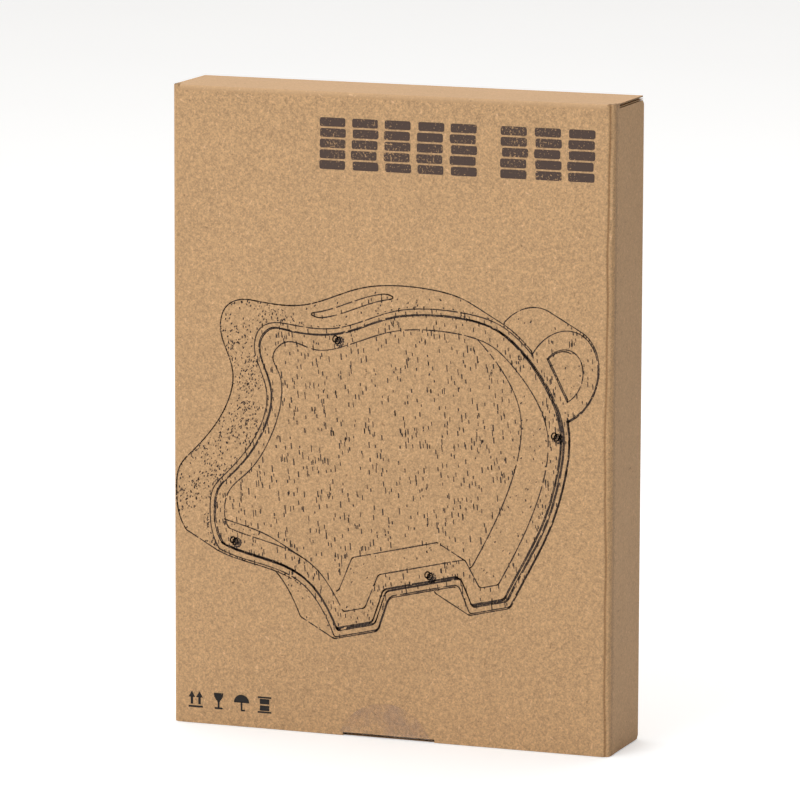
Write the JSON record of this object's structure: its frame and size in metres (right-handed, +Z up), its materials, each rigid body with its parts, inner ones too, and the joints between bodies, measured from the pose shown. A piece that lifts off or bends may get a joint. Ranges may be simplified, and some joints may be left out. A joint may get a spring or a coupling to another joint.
{
  "type": "boxed wooden money box",
  "caption": "Wooden pig-shaped money box with a clear window and coin slot, packed on end in a hinged-lid corrugated carton.",
  "frame": {"origin": "on the floor under the middle of the closed carton", "axes": "+Z up, -Y out of the printed front, +X to the right seen from the front"},
  "size_m": [0.19, 0.0381, 0.265],
  "materials": {
    "kraft_board": null,
    "clear_film": "clear frosted self-adhesive film",
    "solid_wood": "sanded pale hardwood, open vertical grain",
    "plywood": "sanded birch plywood",
    "clear_acrylic": "polished clear acrylic sheet",
    "screw_steel": "zinc-plated steel"
  },
  "bodies": {
    "tray": {"back_panel": "kraft_board", "top_wall": "kraft_board", "bottom_wall": "kraft_board", "left_wall": "kraft_board", "right_wall": "kraft_board", "top_left_tab": "kraft_board", "top_right_tab": "kraft_board", "bottom_left_tab": "kraft_board", "bottom_right_tab": "kraft_board"},
    "lid": {"lid_panel": "kraft_board", "wafer_seal": "clear_film"},
    "left_flap": {"left_lid_flap": "kraft_board"},
    "right_flap": {"right_lid_flap": "kraft_board"},
    "money_box": {"pig_body": "solid_wood", "back_board": "plywood", "window": "clear_acrylic", "screw_snout": "screw_steel", "screw_neck": "screw_steel", "screw_rump": "screw_steel", "screw_belly": "screw_steel"}
  },
  "joints": [
    {"name": "lid_hinge", "type": "hinge", "parent": "tray", "child": "lid", "pos_m": [0, -0.019, 0.265], "axis": [-1, 0, 0], "range_deg": [0, 255]},
    {"name": "left_flap_fold", "type": "hinge", "parent": "lid", "child": "left_flap", "pos_m": [-0.092, -0.016, 0.1325], "axis": [0, 0, 1], "range_deg": [0, 12]},
    {"name": "right_flap_fold", "type": "hinge", "parent": "lid", "child": "right_flap", "pos_m": [0.092, -0.016, 0.1325], "axis": [0, 0, -1], "range_deg": [0, 12]},
    {"name": "money_box_out", "type": "slide", "parent": "tray", "child": "money_box", "axis": [0, -1, 0], "range_m": [0, 0.062]}
  ],
  "couplings": [
    {"joint": "left_flap_fold", "follows": "lid_hinge", "ratio": 0.047059},
    {"joint": "right_flap_fold", "follows": "lid_hinge", "ratio": 0.047059},
    {"joint": "money_box_out", "follows": "lid_hinge", "m_per_rad": 0.013931}
  ]
}
